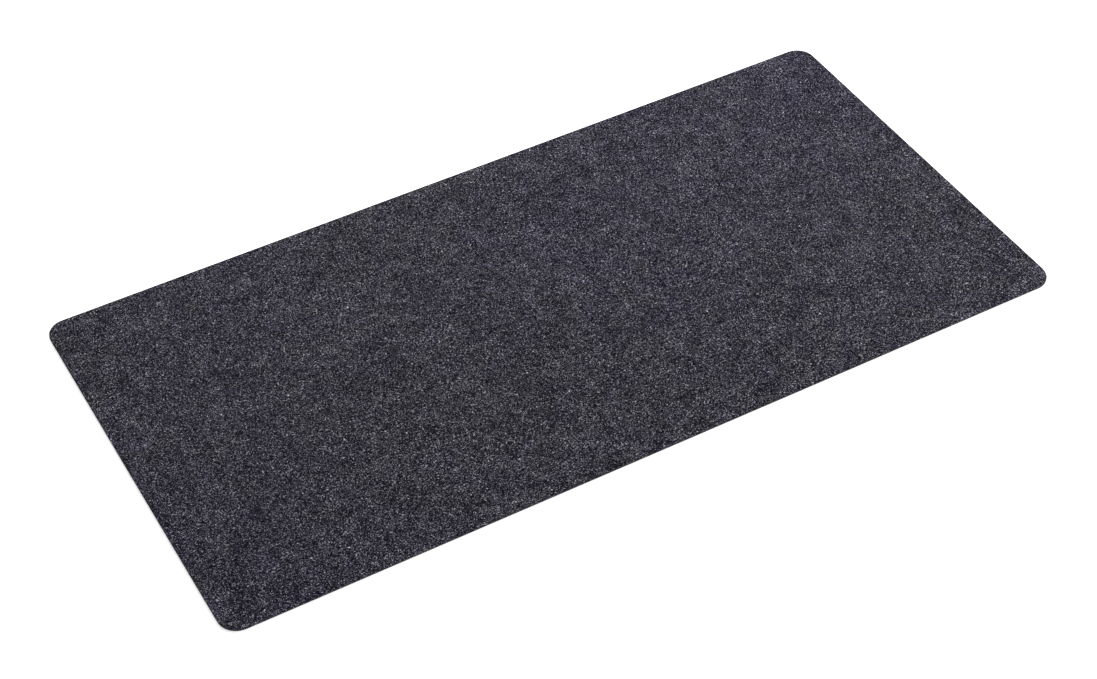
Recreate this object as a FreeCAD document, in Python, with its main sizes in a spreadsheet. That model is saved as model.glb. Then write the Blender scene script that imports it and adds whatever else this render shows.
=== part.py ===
import FreeCAD, Part
import math
import os
import Sketcher

# A rectangular desk mat of needle-punched felt, bonded to a thin anti-slip rubber sheet by a
# hot-melt film. The three layers are cut together, so they share one outline with round corners.
#
# Millimetres. +X runs along the long side, +Y along the short side, +Z up. The origin is the
# middle of the underside, where the mat lies on the desk.

SHEET = "Dimensions"

DIMENSIONS = (
    # alias, value, what it measures
    ("mat_length", "800", "long side, edge to edge"),
    ("mat_width", "400", "short side, edge to edge"),
    ("corner_radius", "17.5", "each corner, seen from above"),
    ("felt_thickness", "2.3", "needle-punched felt"),
    ("film_thickness", "0.1", "hot-melt bonding film"),
    ("backing_thickness", "0.6", "rubber sheet, up from the tips of its grip nubs"),
    ("edge_softness", "0.5", "rounding of the felt's upper cut edge"),
)

LAYERS = (
    # name, alias of its thickness, aliases of the thicknesses that it lies on
    ("antislip_backing", "backing_thickness", ()),
    ("adhesive_film", "film_thickness", ("backing_thickness",)),
    ("felt_face", "felt_thickness", ("backing_thickness", "film_thickness")),
)

CORNERS = ((1, 1), (-1, 1), (-1, -1), (1, -1))  # signs of X and Y, anticlockwise from +X +Y
START, END, CENTRE = 1, 2, 3  # a sketch's numbers for the points of a line or an arc
ORIGIN = (-1, 1)  # a sketch's origin, as an element and a point
SAME_HEIGHT = 1e-6


def add_dimensions(doc):
    """Writes the driving dimensions to a spreadsheet, one row each, with an alias on the value."""
    sheet = doc.addObject("Spreadsheet::Sheet", SHEET)
    for row, (alias, value, meaning) in enumerate(DIMENSIONS, start=1):
        sheet.set(f"A{row}", alias)
        sheet.set(f"B{row}", value)
        sheet.set(f"C{row}", meaning)
        sheet.setAlias(f"B{row}", alias)
    doc.recompute()
    return sheet


def corner_arcs(sheet):
    """Makes the four corner arcs, each a quarter turn, anticlockwise from the corner at +X +Y."""
    radius = sheet.corner_radius
    up = FreeCAD.Vector(0, 0, 1)
    arcs = []
    for turn, (sign_x, sign_y) in enumerate(CORNERS):
        centre_x = sign_x * (sheet.mat_length / 2 - radius)
        centre_y = sign_y * (sheet.mat_width / 2 - radius)
        circle = Part.Circle(FreeCAD.Vector(centre_x, centre_y, 0), up, radius)
        arcs.append(Part.ArcOfCircle(circle, turn * math.pi / 2, (turn + 1) * math.pi / 2))
    return arcs


def draw_outline(sketch, sheet):
    """Draws the mat's outline: a corner, the side that follows it, the next corner and so on."""
    arcs = corner_arcs(sheet)
    for arc, next_arc in zip(arcs, arcs[1:] + arcs[:1]):
        sketch.addGeometry(arc, False)
        sketch.addGeometry(Part.LineSegment(arc.EndPoint, next_arc.StartPoint), False)

    count = 2 * len(arcs)
    far_side, left_side, near_side, right_side = range(1, count, 2)
    corners = range(0, count, 2)
    for element in range(count):
        sketch.addConstraint(Sketcher.Constraint("Tangent", element, END, (element + 1) % count, START))
    for side in (far_side, near_side):
        sketch.addConstraint(Sketcher.Constraint("Horizontal", side))
    for side in (left_side, right_side):
        sketch.addConstraint(Sketcher.Constraint("Vertical", side))
    for corner in corners[1:]:
        sketch.addConstraint(Sketcher.Constraint("Equal", corners[0], corner))
    sketch.addConstraint(Sketcher.Constraint("Symmetric", corners[0], CENTRE, corners[2], CENTRE, *ORIGIN))

    radius = Sketcher.Constraint("Radius", corners[0], sheet.corner_radius)
    length = Sketcher.Constraint("DistanceX", left_side, END, right_side, START, sheet.mat_length)
    width = Sketcher.Constraint("DistanceY", near_side, START, far_side, END, sheet.mat_width)
    for alias, size in (("corner_radius", radius), ("mat_length", length), ("mat_width", width)):
        sketch.renameConstraint(sketch.addConstraint(size), alias)
        sketch.setExpression(f"Constraints.{alias}", f"{SHEET}.{alias}")


def add_layer(doc, sheet, name, thickness, layers_below):
    """Makes one layer of the mat: the outline padded to its thickness, on top of those below."""
    body = doc.addObject("PartDesign::Body", name)
    body.Label = name
    floor = next(plane for plane in body.Origin.OriginFeatures if plane.Role == "XY_Plane")
    sketch = body.newObject("Sketcher::SketchObject", f"{name}_outline")
    sketch.AttachmentSupport = [(floor, "")]
    sketch.MapMode = "FlatFace"
    draw_outline(sketch, sheet)

    pad = body.newObject("PartDesign::Pad", f"{name}_pad")
    pad.Profile = sketch
    pad.setExpression("Length", f"{SHEET}.{thickness}")
    if layers_below:
        height = " + ".join(f"{SHEET}.{alias}" for alias in layers_below)
        body.setExpression("Placement.Base.z", height)
    doc.recompute()
    if not sketch.FullyConstrained:
        raise RuntimeError(f"{sketch.Name} isn't fully constrained")
    return body


def soften_top_edge(doc, body):
    """Rounds a layer's upper edge all the way round, as the cut fibres of felt lie over."""
    pad = body.Tip
    top = pad.Shape.BoundBox.ZMax
    edges = []
    for number, edge in enumerate(pad.Shape.Edges, start=1):
        if abs(edge.BoundBox.ZMin - top) < SAME_HEIGHT:
            edges.append(f"Edge{number}")
    fillet = body.newObject("PartDesign::Fillet", f"{body.Name}_soft_edge")
    fillet.Base = (pad, edges)
    fillet.setExpression("Radius", f"{SHEET}.edge_softness")
    body.Tip = fillet
    doc.recompute()


def check_document(doc, bodies):
    """Stops on any object that failed to compute, and on any layer that isn't one valid solid."""
    for item in doc.Objects:
        failures = {"Invalid", "Error"} & set(item.State)
        if failures:
            raise RuntimeError(f"{item.Name} is {', '.join(sorted(failures))}")
    for body in bodies:
        if body.Shape.isNull() or not body.Shape.isValid() or len(body.Shape.Solids) != 1:
            raise RuntimeError(f"{body.Label} isn't one valid solid")


def export_layers(bodies):
    """Writes each layer to a STEP file named after it, and prints its size for the reader."""
    os.makedirs("parts", exist_ok=True)
    for body in bodies:
        body.Shape.exportStep(f"parts/{body.Label}.step")
        box = body.Shape.optimalBoundingBox(False, False)
        print(
            f"{body.Label}: {box.XLength:.2f} x {box.YLength:.2f} x {box.ZLength:.2f} mm,"
            f" z {box.ZMin:.2f} to {box.ZMax:.2f}, {body.Shape.Volume:.0f} mm3"
        )


def main():
    doc = FreeCAD.newDocument("desk_mat")
    sheet = add_dimensions(doc)
    bodies = []
    for name, thickness, layers_below in LAYERS:
        bodies.append(add_layer(doc, sheet, name, thickness, layers_below))
    felt = bodies[-1]
    soften_top_edge(doc, felt)
    check_document(doc, bodies)
    export_layers(bodies)


main()
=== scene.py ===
import math

import bmesh
import bpy
import numpy as np
from mathutils import Matrix, Vector, noise


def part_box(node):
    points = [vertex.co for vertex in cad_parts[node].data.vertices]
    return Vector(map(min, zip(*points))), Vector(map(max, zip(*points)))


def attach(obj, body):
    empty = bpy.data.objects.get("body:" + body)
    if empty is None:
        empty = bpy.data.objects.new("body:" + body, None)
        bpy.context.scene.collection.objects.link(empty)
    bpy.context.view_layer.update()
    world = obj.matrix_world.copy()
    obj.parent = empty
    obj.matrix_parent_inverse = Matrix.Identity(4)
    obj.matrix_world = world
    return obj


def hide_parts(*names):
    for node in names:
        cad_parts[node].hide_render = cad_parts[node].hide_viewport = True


bl_info = {
    "name": "Felt Desk Mat",
    "version": (1, 0, 0),
    "blender": (4, 5, 0),
    "location": "3D View > Sidebar > Desk Mat",
    "description": "A needle-punched felt desk mat on an anti-slip rubber backing, with its studio",
    "category": "Add Mesh",
}

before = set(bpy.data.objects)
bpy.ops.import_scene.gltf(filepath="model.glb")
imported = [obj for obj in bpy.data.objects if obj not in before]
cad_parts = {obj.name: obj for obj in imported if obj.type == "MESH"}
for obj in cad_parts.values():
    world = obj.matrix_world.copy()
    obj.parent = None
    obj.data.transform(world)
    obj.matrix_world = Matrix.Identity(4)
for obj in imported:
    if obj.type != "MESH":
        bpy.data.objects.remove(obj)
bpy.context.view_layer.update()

BODY = "root"  # the one body that every piece rides on
MM = 0.001  # one millimetre, in the frame's metres
TOUCHING = 0.01 * MM  # places nearer than this count as the same
LUMP_SEED = Vector((13.7, 4.1, 8.9))  # where the felt's relief is read from the noise


def mm_property(name, description, millimetres):
    """A length that shows in Blender's own units, with its default given in millimetres."""
    return bpy.props.FloatProperty(
        name=name, description=description, default=millimetres * MM, unit="LENGTH", precision=5
    )


def colour_property(name, description, colour, subtype="COLOR"):
    """A colour, which is linear unless it has another subtype."""
    return bpy.props.FloatVectorProperty(
        name=name, description=description, default=colour, size=3, subtype=subtype, min=0.0, max=1.0
    )


def shade_property(name, description, shade):
    """A colour in even steps to the eye, as screens show it."""
    return colour_property(name, description, shade, subtype="COLOR_GAMMA")


def count_property(name, description, count):
    """A whole number of things."""
    return bpy.props.IntProperty(name=name, description=description, default=count, min=1)


def share_property(name, description, share):
    """A share of the whole."""
    return bpy.props.FloatProperty(
        name=name, description=description, default=share, min=0.0, max=1.0, subtype="FACTOR"
    )


def angle_property(name, description, degrees):
    """An angle, with its default given in degrees."""
    return bpy.props.FloatProperty(
        name=name, description=description, default=math.radians(degrees), unit="ROTATION"
    )


def power_property(name, description, watts):
    """A lamp's power."""
    return bpy.props.FloatProperty(
        name=name, description=description, default=watts, min=0.0, unit="POWER"
    )


class DeskMatFeltSettings(bpy.types.PropertyGroup):
    """The felt sheet's mesh and the shades of its fibres."""

    cell: mm_property("Cell", "Size of the mesh's cells", 2.0)
    relief: mm_property("Relief", "How far the pressed surface rises and falls", 0.07)
    lump: mm_property("Lump", "Size of the lumps in the pressed surface", 11.0)
    edge_round: mm_property("Edge rounding", "Radius of the upper cut edge", 0.5)
    edge_wander: mm_property("Edge wander", "How far the cut fibres stand out past the cut", 0.22)
    lightness: share_property("Lightness", "Shade of the felt where no fibre stands out", 0.029)
    contrast: share_property("Contrast", "How far the fibres differ in shade", 0.46)
    dark: share_property("Dark", "Shade below which the fibres differ only faintly", 0.10)
    dark_contrast: share_property("Dark contrast", "Share of the contrast that is left there", 0.15)
    # These two colours hold the violet of the fibres and also a painted tint of cool light, as the felt's
    # broad patches mix them.
    faint_violet: shade_property("Faint violet", "Dye where the cast is weakest", (0.0055, 0.0, 0.0285))
    strong_violet: shade_property("Strong violet", "Dye where it is strongest", (0.0115, 0.0, 0.060))


class DeskMatFibreSettings(bpy.types.PropertyGroup):
    """The loose fibres that lie on the felt and stick out of its cut edge."""

    surface_count: count_property("Surface fibres", "Loose fibres that lie on the face", 5200)
    edge_count: count_property("Edge fibres", "Cut fibres that stick out of the edge", 5200)
    thickness: mm_property("Thickness", "Diameter of one fibre", 0.07)
    surface_length: mm_property("Surface length", "Middling length of a loose fibre", 4.5)
    edge_length: mm_property("Edge length", "Middling length of a fibre at the edge", 0.6)
    light: colour_property("Light fibre", "Dye of the lightest fibres", (0.30, 0.30, 0.33))
    grey: colour_property("Grey fibre", "Dye of the middle fibres", (0.11, 0.108, 0.128))
    black: colour_property("Black fibre", "Dye of the darkest fibres", (0.018, 0.017, 0.022))


class DeskMatBackingSettings(bpy.types.PropertyGroup):
    """The rubber sheet and its moulded grip nubs."""

    nub_height: mm_property("Nub height", "How far the nubs stand out of the sheet", 0.25)
    nub_width: mm_property("Nub width", "Diameter of a nub at its foot", 4.0)
    nub_spacing: mm_property("Nub spacing", "From one nub to the next", 10.0)
    margin: mm_property("Margin", "Least bare rubber outside the nubs", 20.0)
    colour: colour_property("Rubber", "Colour of the rubber", (0.022, 0.022, 0.024))


class DeskMatFilmSettings(bpy.types.PropertyGroup):
    """The hot-melt film that holds the two sheets together."""

    colour: colour_property("Film", "Colour of the smoky film", (0.05, 0.05, 0.055))


class DeskMatStudioSettings(bpy.types.PropertyGroup):
    """The camera and the light."""

    lens: bpy.props.FloatProperty(name="Lens", description="Focal length", default=76.4, unit="CAMERA")
    azimuth: angle_property("Azimuth", "Turn of the camera round the mat", -28.24)
    elevation: angle_property("Elevation", "Camera's angle above the desk", 43.83)
    roll: angle_property("Roll", "Turn of the camera about its own axis", -1.56)
    distance: mm_property("Distance", "From the camera to its target", 2027.0)
    target_x: mm_property("Target X", "Where the camera looks, along the mat", -23.4)
    target_y: mm_property("Target Y", "Where the camera looks, across the mat", -36.5)
    daylight: share_property("Daylight", "Strength of the even light from all round", 0.29)
    backdrop: share_property("Backdrop", "Brightness of what shows past the floor", 0.85)
    floor_glow: share_property("Floor glow", "Light that the floor gives off itself", 0.62)
    box_size: mm_property("Softbox size", "Side of each square softbox", 1000.0)
    back_power: power_property("Back softbox", "Power of the softbox behind the mat", 16.5)
    right_power: power_property("Right softbox", "Power of the softbox on the right", 14.5)


# ---------------------------------------------------------------------------- shared helpers


def deselect_all():
    """Leaves nothing selected, so that the next operator acts on new geometry only."""
    for item in bpy.context.selected_objects:
        item.select_set(False)


def claim(piece, name, slot, *materials):
    """Names a finished piece, gives it its finish and lets it ride on the mat."""
    piece.name = name
    piece.data.name = name
    piece.data.materials.clear()
    for material in materials:
        piece.data.materials.append(material)
    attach(piece, BODY)


def object_from(name, vertices, faces):
    """Makes a mesh object at the origin from points in place."""
    mesh = bpy.data.meshes.new(name)
    mesh.from_pydata(vertices, [], faces)
    mesh.validate()
    piece = bpy.data.objects.new(name, mesh)
    bpy.context.collection.objects.link(piece)
    return piece


class Outline:
    """The mat's outline seen from above: a rectangle with round corners about the origin."""

    def __init__(self):
        low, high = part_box("antislip_backing")
        self.half = np.array([high.x, high.y])
        corners = [v.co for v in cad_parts["antislip_backing"].data.vertices]
        straight = max(co.y for co in corners if high.x - co.x < TOUCHING)
        self.radius = high.y - straight
        self.core = self.half - self.radius

    def spread(self, points):
        """Splits points into the nearest place on the core rectangle, the way out, and how far out."""
        nearest = np.clip(points, -self.core, self.core)
        away = points - nearest
        distance = np.linalg.norm(away, axis=-1, keepdims=True)
        return nearest, away / np.maximum(distance, 1e-12), distance[..., 0]

    def inside_by(self, points):
        """How far points lie inside the outline, up to the corner radius, which is all it tells."""
        _, _, distance = self.spread(points)
        return self.radius - distance

    def ring(self, points, inset):
        """Moves points that lie outside the core to the outline, or that far inside it."""
        nearest, outward, _ = self.spread(points)
        return nearest + outward * (self.radius - inset)

    def walk(self, shares):
        """Places on the outline, each a share of the way round, and the way out at each."""
        quarter = math.pi / 2 * self.radius
        stretches = [2 * self.core[1], quarter, 2 * self.core[0], quarter] * 2
        ends = np.cumsum(stretches)
        along = shares * ends[-1]
        index = np.searchsorted(ends, along)
        past = along - (ends - stretches)[index]
        side = index // 2
        turned = np.where(index % 2, past / self.radius, 0.0)
        heading = side * math.pi / 2 + turned
        outward = np.stack([np.cos(heading), np.sin(heading)], axis=-1)
        corner = np.array([(1, -1), (1, 1), (-1, 1), (-1, -1)]) * self.core
        base = np.where((index % 2)[:, None], corner[(side + 1) % 4], corner[side])
        onward = np.stack([-np.sin(side * math.pi / 2), np.cos(side * math.pi / 2)], axis=-1)
        run = np.where(index % 2, 0.0, past)
        return base + onward * run[:, None] + outward * self.radius, outward

    def round_grid(self, points):
        """Squeezes a rectangular grid's square corners into round ones."""
        sides = np.abs(points) - self.core
        in_corner = (sides > 0).all(axis=-1)
        corner = sides[in_corner]
        pull = corner.max(axis=-1) / np.linalg.norm(corner, axis=-1)
        moved = points.copy()
        moved[in_corner] = np.sign(points[in_corner]) * (self.core + corner * pull[:, None])
        return moved


# ---------------------------------------------------------------------------- materials


class Shader:
    """Builds one material's nodes. A value given as a socket is linked, and any other is set."""

    def __init__(self, name):
        self.material = bpy.data.materials.new(name)
        self.material.use_nodes = True
        self.tree = self.material.node_tree
        self.tree.nodes.clear()
        self.surface = self.add("ShaderNodeBsdfPrincipled")
        output = self.add("ShaderNodeOutputMaterial")
        self.tree.links.new(self.surface.outputs["BSDF"], output.inputs["Surface"])

    def add(self, kind, inputs=None, **settings):
        """Adds a node with these settings and inputs."""
        node = self.tree.nodes.new(kind)
        for name, value in settings.items():
            setattr(node, name, value)
        for name, value in (inputs or {}).items():
            self.put(node.inputs[name], value)
        return node

    def put(self, socket, value):
        """Links a socket to the input, or sets it to the value."""
        if isinstance(value, bpy.types.NodeSocket):
            self.tree.links.new(value, socket)
        else:
            socket.default_value = value

    def finish(self, inputs):
        """Sets the surface's own inputs and returns the material."""
        for name, value in inputs.items():
            self.put(self.surface.inputs[name], value)
        return self.material

    def maths(self, operation, first, second=0.0, third=0.0):
        """Works out one number from up to three."""
        node = self.add("ShaderNodeMath", operation=operation)
        for socket, value in zip(node.inputs, (first, second, third)):
            self.put(socket, value)
        return node.outputs[0]

    def object_mm(self):
        """The place on the piece, in millimetres."""
        place = self.add("ShaderNodeTexCoord").outputs["Object"]
        scaled = self.add("ShaderNodeVectorMath", {0: place, "Scale": 1 / MM}, operation="SCALE")
        return scaled.outputs[0]

    def noise(self, place, size, detail=0.0, roughness=0.5, seed=0.0):
        """Noise about 0, in lumps of that many millimetres."""
        texture = self.add(
            "ShaderNodeTexNoise",
            {"Vector": place, "W": seed, "Scale": 1 / size, "Detail": detail, "Roughness": roughness},
            noise_dimensions="4D",
        )
        return self.maths("SUBTRACT", texture.outputs["Fac"], 0.5)

    def bent(self, place, size, reach, seed):
        """Moves places about by up to reach, in waves of that size, so that straight streaks curl."""
        texture = self.add(
            "ShaderNodeTexNoise",
            {"Vector": place, "W": seed, "Scale": 1 / size, "Detail": 0.0},
            noise_dimensions="4D",
        )
        shift = self.add(
            "ShaderNodeVectorMath",
            {0: texture.outputs["Color"], 1: (-0.5, -0.5, -0.5)},
            operation="ADD",
        )
        scaled = self.add(
            "ShaderNodeVectorMath", {0: shift.outputs[0], "Scale": 2 * reach}, operation="SCALE"
        )
        moved = self.add("ShaderNodeVectorMath", {0: place, 1: scaled.outputs[0]}, operation="ADD")
        return moved.outputs[0]

    def streaks(self, place, angle, length, width, seed):
        """Noise about 0, in fibres of that length and width that lie at one angle."""
        turned = self.add(
            "ShaderNodeMapping",
            {"Vector": place, "Rotation": (0.0, 0.0, angle), "Scale": (length, width, width)},
            vector_type="TEXTURE",
        )
        return self.noise(turned.outputs[0], 1.0, seed=seed)

    def weighted(self, *terms):
        """Adds up (value, weight) pairs."""
        total = 0.0
        for value, weight in terms:
            total = self.maths("MULTIPLY_ADD", value, weight, total)
        return total

    def between(self, factor, first, second):
        """A colour between two."""
        node = self.add("ShaderNodeMix", {"Factor": factor, "A": first, "B": second}, data_type="RGBA")
        return node.outputs["Result"]


def directions(count, first=0.0):
    """Angles spread evenly over half a turn, the first of them that share of a step round."""
    return [math.pi * (turn + first) / count for turn in range(count)]


def hairs(shader, place, angle, seed):
    """Thin curly lines from 0 to 1, where a stretched noise passes through its middle."""
    length, spacing, fineness = 2.8, 0.9, 22.0
    waves = shader.streaks(place, angle, length, spacing, seed)
    away = shader.maths("ABSOLUTE", waves)
    return shader.maths("MAXIMUM", shader.maths("MULTIPLY_ADD", away, -fineness, 1.0), 0.0)


CLUMPS = (
    # size in millimetres, detail, weight, seed
    (1.6, 0.0, 0.60, 21.0),
    (4.5, 1.0, 0.65, 22.0),
    (16.0, 1.0, 0.50, 23.0),
    (70.0, 1.0, 0.11, 24.0),
)


def fibre_grain(shader, place):
    """The felt's fibres: tufts and thin hairs that curl in every direction, over clumps."""
    curl_size, curl_reach = 6.0, 1.8
    curled = shader.bent(place, curl_size, curl_reach, seed=3.0)
    tuft_length, tuft_width = 1.6, 0.72
    tuft_weight, light_weight, dark_weight = 1.45, 0.5, -0.4
    fibres = []
    for turn, angle in enumerate(directions(6)):
        tufts = shader.streaks(curled, angle, tuft_length, tuft_width, seed=10.0 + turn)
        fibres.append((tufts, tuft_weight))
    for turn, angle in enumerate(directions(4, first=0.4)):
        fibres.append((hairs(shader, curled, angle, seed=40.0 + turn), light_weight))
    for turn, angle in enumerate(directions(2, first=0.2)):
        fibres.append((hairs(shader, curled, angle, seed=50.0 + turn), dark_weight))
    for size, detail, weight, seed in CLUMPS:
        fibres.append((shader.noise(place, size, detail=detail, seed=seed), weight))
    return shader.weighted(*fibres)


def violet_dye_and_painted_light(shader, place, settings):
    """The violet of the fibres in small patches, and a broad painted tint of cool light over it in 300 mm
    patches.
    """
    patches = shader.noise(place, size=26.0, detail=2.0, seed=31.0)
    # The broad 300 mm patches are painted light: a bluer tint of cool light, not a change in the fibres.
    painted_cool_light = shader.noise(place, size=300.0, detail=1.0, seed=4200.0)
    patch_weight, painted_light_weight, middle = 2.4, 2.3, 0.42
    cast = shader.maths("ADD", shader.weighted((patches, patch_weight), (painted_cool_light, painted_light_weight)), middle)
    return shader.between(cast, (*settings.faint_violet, 1.0), (*settings.strong_violet, 1.0))


def felt_material(settings):
    """Speckled anthracite felt: dark, mid and light grey fibres with a violet cast in patches, and a
    broad painted tint of cool light.
    """
    shader = Shader("anthracite_felt")
    place = shader.object_mm()
    grain = fibre_grain(shader, place)
    shade = shader.maths("MULTIPLY_ADD", grain, settings.contrast, settings.lightness)
    kept = settings.dark_contrast
    faint = shader.maths("MULTIPLY_ADD", shade, kept, (1 - kept) * settings.dark)
    fibres = shader.maths("MAXIMUM", shade, faint)
    dye_and_painted_light = violet_dye_and_painted_light(shader, place, settings)
    # The violet added here is partly the fibres' own and partly painted cool light.
    dyed = shader.add("ShaderNodeVectorMath", {0: fibres, 1: dye_and_painted_light}, operation="ADD")
    colour = shader.add("ShaderNodeGamma", {"Color": dyed.outputs[0], "Gamma": 2.2})
    bump = shader.add("ShaderNodeBump", {"Height": grain, "Strength": 0.5, "Distance": 0.1 * MM})
    return shader.finish(
        {
            "Base Color": colour.outputs[0],
            "Roughness": 0.92,
            "Normal": bump.outputs[0],
            "Specular IOR Level": 0.1,
            "Sheen Weight": 0.05,
            "Sheen Roughness": 0.5,
            "Sheen Tint": (0.5, 0.5, 0.62, 1.0),
        }
    )


def fibre_material(name, colour):
    """One evenly dyed polyester fibre, a little glossy, which both fibre pieces share."""
    made = bpy.data.materials.get(name)
    if made:
        return made
    return Shader(name).finish(
        {"Base Color": (*colour, 1.0), "Roughness": 0.62, "Specular IOR Level": 0.35, "Sheen Weight": 0.1}
    )


def rubber_material(settings):
    """Matt black rubber with a fine moulded grain, dusty in places."""
    shader = Shader("moulded_rubber")
    place = shader.object_mm()
    grain = shader.noise(place, size=0.7, detail=2.0, seed=51.0)
    dust = shader.noise(place, size=30.0, detail=3.0, roughness=0.6, seed=52.0)
    grain_weight, dust_weight, middle = 0.5, 1.6, 0.45
    worn = shader.maths("ADD", shader.weighted((grain, grain_weight), (dust, dust_weight)), middle)
    dust_gain = 2.4  # how much paler the dusty rubber is
    clean = (*settings.colour, 1.0)
    dusty = (*(dust_gain * channel for channel in settings.colour), 1.0)
    usual_roughness, dust_roughness = 0.62, 0.5
    roughness = shader.maths("MULTIPLY_ADD", dust, dust_roughness, usual_roughness)
    bump = shader.add("ShaderNodeBump", {"Height": grain, "Strength": 0.6, "Distance": 0.05 * MM})
    return shader.finish(
        {
            "Base Color": shader.between(worn, clean, dusty),
            "Roughness": roughness,
            "Normal": bump.outputs[0],
            "Specular IOR Level": 0.4,
        }
    )


def film_material(settings):
    """Smoky hot-melt film that has flowed a little unevenly."""
    shader = Shader("hot_melt_film")
    place = shader.object_mm()
    flow = shader.noise(place, size=9.0, detail=3.0, roughness=0.6, seed=61.0)
    flow_weight, middle = 2.5, 0.5
    share = shader.maths("MULTIPLY_ADD", flow, flow_weight, middle)
    thick_gain = 0.5  # how much darker the film is where it is thick
    thin = (*settings.colour, 1.0)
    thick = (*(thick_gain * channel for channel in settings.colour), 1.0)
    usual_roughness, flow_roughness = 0.4, 0.4
    roughness = shader.maths("MULTIPLY_ADD", flow, flow_roughness, usual_roughness)
    bump = shader.add("ShaderNodeBump", {"Height": flow, "Strength": 0.4, "Distance": 0.05 * MM})
    return shader.finish(
        {
            "Base Color": shader.between(share, thin, thick),
            "Roughness": roughness,
            "Normal": bump.outputs[0],
        }
    )


def floor_material(glow):
    """Matt white paper that glows a little, so that it stays pale all over."""
    white = (0.95, 0.95, 0.95, 1.0)
    shader = Shader("pale_floor")
    return shader.finish(
        {
            "Base Color": white,
            "Roughness": 0.9,
            "Specular IOR Level": 0.0,
            "Emission Color": white,
            "Emission Strength": glow,
        }
    )


# ---------------------------------------------------------------------------- the felt


def relief_at(points, settings):
    """The pressed surface's rise and fall at each point."""
    fall_off, finer, octaves = 0.6, 2.1, 3
    heights = []
    for x, y in points:
        place = Vector((x, y, 0.0)) / settings.lump + LUMP_SEED
        heights.append(noise.fractal(place, fall_off, finer, octaves))
    return np.array(heights) * settings.relief


def felt_grid(outline, settings, top):
    """A grid inside the upper edge's rounding, with the mat's round corners and its relief."""
    size = 2 * (outline.half - settings.edge_round)
    cells = np.rint(size / settings.cell).astype(int)
    deselect_all()
    bpy.ops.mesh.primitive_grid_add(x_subdivisions=cells[0], y_subdivisions=cells[1], size=1.0)
    piece = bpy.context.active_object
    mesh = piece.data
    flat = np.empty(3 * len(mesh.vertices))
    mesh.vertices.foreach_get("co", flat)
    points = flat.reshape(-1, 3)
    places = outline.round_grid(points[:, :2] * size)
    depth = outline.inside_by(places) - settings.edge_round
    level_cells = 4  # the relief fades out over this many cells, so that the rim is level
    share = np.clip(depth / (level_cells * settings.cell), 0.0, 1.0)
    points[:, :2] = places
    points[:, 2] = top + share * relief_at(places, settings)
    mesh.vertices.foreach_set("co", points.ravel())
    return piece


def roll_edge(piece, outline, settings, bottom, top):
    """Rolls the sheet's edge over, takes it down to the film and closes it underneath."""
    turns = 4
    levels = 4
    ragged = 5 * MM  # size of the places where the cut edge stands out
    stretch = 3  # those places are this many times longer along the edge than up it
    rows = []
    for step in range(1, turns + 1):
        angle = step / turns * math.pi / 2
        rows.append(
            (
                settings.edge_round * (1 - math.sin(angle)),
                top - settings.edge_round * (1 - math.cos(angle)),
                step / turns,
            )
        )
    wall = top - settings.edge_round - bottom
    for step in range(1, levels + 1):
        rows.append((0.0, bottom + wall * (1 - step / levels), 1.0))

    mesh = bmesh.new()
    mesh.from_mesh(piece.data)
    rim = [edge for edge in mesh.edges if edge.is_boundary]
    for inset, height, wander_share in rows:
        made = bmesh.ops.extrude_edge_only(mesh, edges=rim)["geom"]
        for vertex in (item for item in made if isinstance(item, bmesh.types.BMVert)):
            place = outline.ring(np.array(vertex.co.xy), inset)
            stand_out = 0.5 + 0.5 * noise.noise(Vector((*place, stretch * height)) / ragged)
            shifted = outline.ring(place, inset - settings.edge_wander * wander_share * stand_out)
            vertex.co = (*shifted, height)
        rim = [item for item in made if isinstance(item, bmesh.types.BMEdge)]
    bmesh.ops.contextual_create(mesh, geom=rim)
    bmesh.ops.recalc_face_normals(mesh, faces=mesh.faces)
    mesh.to_mesh(piece.data)
    mesh.free()


class DESKMAT_OT_felt_face(bpy.types.Operator):
    """Makes the felt sheet with its soft upper edge, for the CAD felt"""

    bl_idname = "deskmat.felt_face"
    bl_label = "Felt Face"
    bl_options = {"REGISTER", "UNDO"}

    def execute(self, context):
        settings = context.scene.desk_mat_felt
        outline = Outline()
        low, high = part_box("felt_face")
        piece = felt_grid(outline, settings, high.z)
        roll_edge(piece, outline, settings, low.z, high.z)
        piece.data.shade_smooth()
        claim(piece, "felt_sheet", "felt", felt_material(settings))
        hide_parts("felt_face")
        return {"FINISHED"}


# ---------------------------------------------------------------------------- the loose fibres


def curling_paths(rng, starts, headings, lengths, curl, steps):
    """Level paths from starts, each an arc of its own length that turns by up to curl radians."""
    turns = rng.normal(0.0, curl, len(starts))
    places = [starts]
    for step in range(steps):
        angle = headings + turns * ((step + 0.5) / steps - 0.5)
        forward = np.stack([np.cos(angle), np.sin(angle)], axis=-1)
        places.append(places[-1] + forward * (lengths / steps)[:, None])
    return np.stack(places, axis=1)


def tubes_along(paths, radius):
    """Three-sided closed tubes along many paths of as many points each: their vertices and faces."""
    along = np.gradient(paths, axis=1)
    along /= np.linalg.norm(along, axis=-1, keepdims=True)
    side = np.cross(along, (0.0, 0.0, 1.0))
    side /= np.linalg.norm(side, axis=-1, keepdims=True)
    above = np.cross(side, along)
    sides = 3
    rings = []
    for corner in range(sides):
        angle = math.pi / 2 + 2 * math.pi * corner / sides
        rings.append(paths + radius * (math.cos(angle) * side + math.sin(angle) * above))
    vertices = np.stack(rings, axis=2)
    count, steps = paths.shape[:2]
    walls = []
    for step in range(steps - 1):
        for corner in range(sides):
            beside = (corner + 1) % sides
            low, high = step * sides, (step + 1) * sides
            walls.append((low + corner, low + beside, high + beside, high + corner))
    last = (steps - 1) * sides
    caps = [(2, 1, 0), (last, last + 1, last + 2)]
    pattern = [*walls, *caps]
    faces = []
    for tube in range(count):
        first = tube * steps * sides
        faces += [tuple(first + corner for corner in face) for face in pattern]
    return vertices.reshape(-1, 3), faces, len(pattern)


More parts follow.
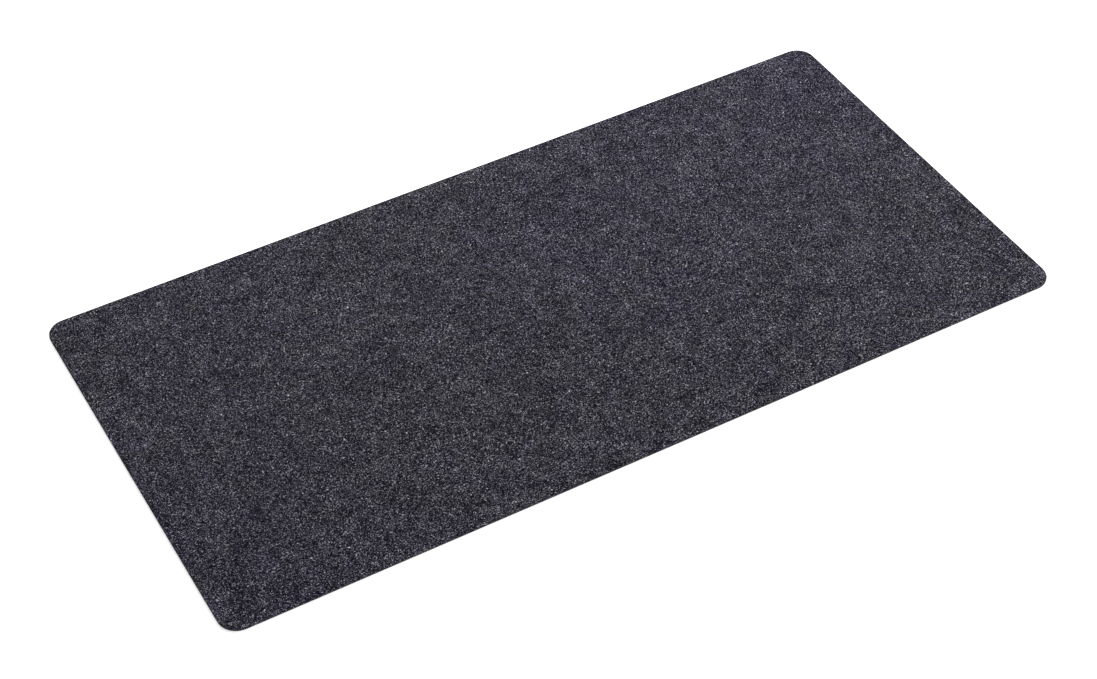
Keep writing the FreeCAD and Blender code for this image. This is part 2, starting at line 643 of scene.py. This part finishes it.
def fibre_piece(name, rng, paths, shares, settings):
    """Makes one piece of many fibres, of which shares are light and grey and the rest black."""
    vertices, faces, faces_each = tubes_along(paths, settings.thickness / 2)
    piece = object_from(name, vertices.tolist(), faces)
    mesh = bmesh.new()
    mesh.from_mesh(piece.data)
    bmesh.ops.recalc_face_normals(mesh, faces=mesh.faces)
    mesh.to_mesh(piece.data)
    mesh.free()
    piece.data.shade_smooth()
    materials = [
        fibre_material("light_fibre", settings.light),
        fibre_material("grey_fibre", settings.grey),
        fibre_material("black_fibre", settings.black),
    ]
    claim(piece, name, "felt", *materials)
    dyes = np.searchsorted(np.cumsum(shares), rng.random(len(paths)))
    piece.data.polygons.foreach_set("material_index", np.repeat(dyes, faces_each).astype(np.int32))


class DESKMAT_OT_surface_fibres(bpy.types.Operator):
    """Scatters loose curled fibres over the felt, with their ends pressed into it"""

    bl_idname = "deskmat.surface_fibres"
    bl_label = "Surface Fibres"
    bl_options = {"REGISTER", "UNDO"}

    def execute(self, context):
        settings = context.scene.desk_mat_fibres
        outline = Outline()
        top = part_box("felt_face")[1].z
        rng = np.random.default_rng(11)
        count = settings.surface_count
        steps, length_spread, curl = 5, 0.35, 1.1
        lengths = settings.surface_length * rng.lognormal(0.0, length_spread, count)
        room = outline.half - settings.surface_length
        starts = rng.uniform(-room, room, (count, 2))
        headings = rng.uniform(0.0, 2 * math.pi, count)
        level = curling_paths(rng, starts, headings, lengths, curl, steps)
        level -= level.mean(axis=1, keepdims=True) - starts[:, None]
        clear = 0.1 * outline.radius
        level = level[(outline.inside_by(level) > clear).all(axis=1)]
        ground = relief_at(level.reshape(-1, 2), context.scene.desk_mat_felt).reshape(level.shape[:2])
        rise = np.sin(np.linspace(0.0, math.pi, steps + 1))
        lowest, highest = 0.04, 0.16
        lift = rng.uniform(lowest, highest, (len(level), 1)) * MM
        buried = 0.8 * settings.thickness
        heights = top + ground - buried + rise * (lift + buried)
        paths = np.concatenate([level, heights[..., None]], axis=-1)
        light_share, grey_share = 0.55, 0.3
        fibre_piece("surface_fibres", rng, paths, (light_share, grey_share), settings)
        return {"FINISHED"}


class DESKMAT_OT_edge_fibres(bpy.types.Operator):
    """Sets short cut fibres all round the felt's edge"""

    bl_idname = "deskmat.edge_fibres"
    bl_label = "Edge Fibres"
    bl_options = {"REGISTER", "UNDO"}

    def execute(self, context):
        settings = context.scene.desk_mat_fibres
        outline = Outline()
        low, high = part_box("felt_face")
        rng = np.random.default_rng(12)
        count = settings.edge_count
        steps, heading_spread, length_spread, curl, slope_spread = 2, 0.6, 0.3, 1.0, 0.25
        places, outward = outline.walk(rng.uniform(0.0, 1.0, count))
        ahead = np.arctan2(outward[:, 1], outward[:, 0]) + rng.normal(0.0, heading_spread, count)
        lengths = settings.edge_length * rng.lognormal(0.0, length_spread, count)
        root_depth = 0.25 * MM
        starts = places - outward * root_depth
        level = curling_paths(rng, starts, ahead, lengths + root_depth, curl, steps)
        clear = 0.15 * MM
        rooted = rng.uniform(low.z + clear, high.z - clear, count)
        slope = rng.normal(0.0, slope_spread, count)
        reach = np.linspace(0.0, 1.0, steps + 1)
        heights = rooted[:, None] + (slope * lengths)[:, None] * reach
        paths = np.concatenate([level, heights[..., None]], axis=-1)
        light_share, grey_share = 0.18, 0.4
        fibre_piece("edge_fibres", rng, paths, (light_share, grey_share), settings)
        return {"FINISHED"}


# ---------------------------------------------------------------------------- the backing and the film


def select_open_edges():
    """Selects the open edges of the piece that is in edit mode, and nothing else."""
    bpy.ops.mesh.select_mode(type="EDGE")
    bpy.ops.mesh.select_all(action="DESELECT")
    bpy.ops.mesh.select_non_manifold()


def move_vertices(piece, chosen, place_for):
    """Moves the vertices for which chosen says yes to the places that place_for gives."""
    for vertex in piece.data.vertices:
        if chosen(vertex):
            vertex.co = place_for(vertex.co)


def nub_tile(corner, settings, web, tip):
    """One square of the rubber's underside, with its nub at the middle."""
    sides = 8
    centre = corner + Vector((0.5, 0.5)) * settings.nub_spacing
    deselect_all()
    bpy.ops.mesh.primitive_circle_add(
        vertices=sides, radius=settings.nub_width / 2, fill_type="NGON", location=(*centre, web)
    )
    piece = bpy.context.active_object
    bpy.ops.object.transform_apply(location=True)
    bpy.ops.object.mode_set(mode="EDIT")
    bpy.ops.mesh.select_all(action="SELECT")
    shoulder = 0.12 * settings.nub_width
    shares_of_height = (0.75, 0.25)  # the nub's steep wall, and its low crown
    for share in shares_of_height:
        bpy.ops.mesh.inset(thickness=shoulder, depth=0.0)
        bpy.ops.transform.translate(value=(0.0, 0.0, share * (tip - web)))
    select_open_edges()
    bpy.ops.mesh.extrude_edges_move()
    bpy.ops.object.mode_set(mode="OBJECT")
    reach = settings.nub_spacing / 2

    def to_square(place):
        away = Vector(place.xy) - centre
        return Vector((*(centre + away * reach / max(abs(away.x), abs(away.y))), web))

    move_vertices(piece, lambda vertex: vertex.select, to_square)
    return piece


def repeat(piece, count, step):
    """Repeats a piece in a row and welds the copies."""
    row = piece.modifiers.new("row", "ARRAY")
    row.count = count
    row.use_relative_offset = False
    row.use_constant_offset = True
    row.constant_offset_displace = step
    row.use_merge_vertices = True
    row.merge_threshold = TOUCHING
    bpy.context.view_layer.objects.active = piece
    bpy.ops.object.modifier_apply(modifier=row.name)


class DESKMAT_OT_backing(bpy.types.Operator):
    """Makes the rubber sheet with its moulded nubs, for the CAD backing"""

    bl_idname = "deskmat.backing"
    bl_label = "Anti-slip Backing"
    bl_options = {"REGISTER", "UNDO"}

    def execute(self, context):
        settings = context.scene.desk_mat_backing
        outline = Outline()
        low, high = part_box("antislip_backing")
        half = Vector(outline.half)
        web = low.z + settings.nub_height
        counts = [int(2 * (side - settings.margin) / settings.nub_spacing) for side in half]
        field = Vector(counts) * settings.nub_spacing / 2
        piece = nub_tile(-field, settings, web, low.z)
        repeat(piece, counts[0], (settings.nub_spacing, 0.0, 0.0))
        repeat(piece, counts[1], (0.0, settings.nub_spacing, 0.0))

        bpy.ops.object.mode_set(mode="EDIT")
        select_open_edges()
        bpy.ops.mesh.extrude_edges_move()
        bpy.ops.object.mode_set(mode="OBJECT")

        def to_edge(place):
            spread = [
                math.copysign(side, at) if abs(at) > inner - TOUCHING else at
                for at, inner, side in zip(place.xy, field, half)
            ]
            return Vector((*spread, web))

        move_vertices(piece, lambda vertex: vertex.select, to_edge)
        bpy.ops.object.mode_set(mode="EDIT")
        select_open_edges()
        rise = (0.0, 0.0, high.z - web)
        bpy.ops.mesh.extrude_edges_move(TRANSFORM_OT_translate={"value": rise})
        bpy.ops.mesh.edge_face_add()
        bpy.ops.mesh.select_all(action="DESELECT")
        bpy.ops.object.mode_set(mode="OBJECT")
        for edge in piece.data.edges:
            ends = [piece.data.vertices[index].co for index in edge.vertices]
            edge.select = all(abs(end.x) + abs(end.y) > half.x + half.y - TOUCHING for end in ends)
        bpy.ops.object.mode_set(mode="EDIT")
        bpy.ops.mesh.select_mode(type="EDGE")
        bpy.ops.mesh.bevel(offset=outline.radius, segments=14, affect="EDGES")
        bpy.ops.mesh.select_all(action="SELECT")
        bpy.ops.mesh.normals_make_consistent(inside=False)
        bpy.ops.object.mode_set(mode="OBJECT")
        bpy.ops.object.shade_smooth_by_angle(angle=math.radians(40))
        claim(piece, "rubber_backing", "backing", rubber_material(settings))
        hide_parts("antislip_backing")
        return {"FINISHED"}


class DESKMAT_OT_film(bpy.types.Operator):
    """Gives the CAD film between the two sheets its finish"""

    bl_idname = "deskmat.film"
    bl_label = "Adhesive Film"
    bl_options = {"REGISTER", "UNDO"}

    def execute(self, context):
        material = film_material(context.scene.desk_mat_film)
        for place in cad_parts["adhesive_film"].material_slots:
            place.material = material
        return {"FINISHED"}


# ---------------------------------------------------------------------------- the studio


def aim(location, target, roll=0.0):
    """A placement at location that looks at target, level unless it is rolled."""
    turn = (Vector(target) - Vector(location)).to_track_quat("-Z", "Y").to_matrix().to_4x4()
    return Matrix.Translation(location) @ turn @ Matrix.Rotation(roll, 4, "Z")


def add_floor(glow):
    """A wide pale floor under the mat."""
    deselect_all()
    bpy.ops.mesh.primitive_plane_add(size=40.0, location=(0.0, 0.0, 0.0))
    floor = bpy.context.active_object
    floor.name = "floor"
    floor.data.materials.append(floor_material(glow))


def add_softbox(name, location, size, power):
    """A square soft light that points at the mat."""
    deselect_all()
    bpy.ops.object.light_add(type="AREA", location=location)
    light = bpy.context.active_object
    light.name = name
    light.data.shape = "SQUARE"
    light.data.size = size
    light.data.energy = power
    light.matrix_world = aim(location, (0.0, 0.0, 0.0))


def add_daylight(strength, backdrop):
    """Even pale light from all round, in front of a backdrop of its own brightness."""
    world = bpy.data.worlds.new("studio")
    world.use_nodes = True
    tree = world.node_tree
    background = tree.nodes["Background"]
    background.inputs["Color"].default_value = (1.0, 1.0, 1.0, 1.0)
    path = tree.nodes.new("ShaderNodeLightPath")
    seen = tree.nodes.new("ShaderNodeMath")
    seen.operation = "MULTIPLY_ADD"
    tree.links.new(path.outputs["Is Camera Ray"], seen.inputs[0])
    seen.inputs[1].default_value = backdrop - strength
    seen.inputs[2].default_value = strength
    tree.links.new(seen.outputs[0], background.inputs["Strength"])
    bpy.context.scene.world = world


def add_camera(settings):
    """A camera at the settings' angle, aimed at its target."""
    azimuth, elevation = settings.azimuth, settings.elevation
    back = Vector(
        (
            math.sin(azimuth) * math.cos(elevation),
            -math.cos(azimuth) * math.cos(elevation),
            math.sin(elevation),
        )
    )
    target = Vector((settings.target_x, settings.target_y, 0.0))
    deselect_all()
    bpy.ops.object.camera_add()
    camera = bpy.context.active_object
    camera.name = "camera"
    camera.data.lens = settings.lens
    camera.matrix_world = aim(target + back * settings.distance, target, settings.roll)
    bpy.context.scene.camera = camera


class DESKMAT_OT_studio(bpy.types.Operator):
    """Makes the pale floor, the soft light and the camera"""

    bl_idname = "deskmat.studio"
    bl_label = "Studio"
    bl_options = {"REGISTER", "UNDO"}

    def execute(self, context):
        settings = context.scene.desk_mat_studio
        context.scene.view_settings.view_transform = "Standard"
        add_camera(settings)
        add_floor(settings.floor_glow)
        add_daylight(settings.daylight, settings.backdrop)
        add_softbox("back_softbox", (0.2, 1.4, 1.2), settings.box_size, settings.back_power)
        add_softbox("right_softbox", (1.0, -0.4, 1.4), settings.box_size, settings.right_power)
        return {"FINISHED"}


class DESKMAT_PT_panel(bpy.types.Panel):
    """Lists the steps that make the mat"""

    bl_idname = "DESKMAT_PT_panel"
    bl_label = "Desk Mat"
    bl_space_type = "VIEW_3D"
    bl_region_type = "UI"
    bl_category = "Desk Mat"

    def draw(self, context):
        for step in STEPS:
            self.layout.operator(step.bl_idname)


SETTINGS = {
    "desk_mat_felt": DeskMatFeltSettings,
    "desk_mat_fibres": DeskMatFibreSettings,
    "desk_mat_backing": DeskMatBackingSettings,
    "desk_mat_film": DeskMatFilmSettings,
    "desk_mat_studio": DeskMatStudioSettings,
}
STEPS = (
    DESKMAT_OT_backing,
    DESKMAT_OT_film,
    DESKMAT_OT_surface_fibres,
    DESKMAT_OT_edge_fibres,
    DESKMAT_OT_felt_face,
    DESKMAT_OT_studio,
)


def register():
    for name, group in SETTINGS.items():
        bpy.utils.register_class(group)
        setattr(bpy.types.Scene, name, bpy.props.PointerProperty(type=group))
    for kind in (*STEPS, DESKMAT_PT_panel):
        bpy.utils.register_class(kind)


def unregister():
    for kind in reversed((*STEPS, DESKMAT_PT_panel)):
        bpy.utils.unregister_class(kind)
    for name, group in reversed(SETTINGS.items()):
        delattr(bpy.types.Scene, name)
        bpy.utils.unregister_class(group)


def main():
    register()
    bpy.ops.deskmat.backing()
    bpy.ops.deskmat.film()
    bpy.ops.deskmat.surface_fibres()
    bpy.ops.deskmat.edge_fibres()
    bpy.ops.deskmat.felt_face()
    bpy.ops.deskmat.studio()


if __name__ == "__main__":
    main()
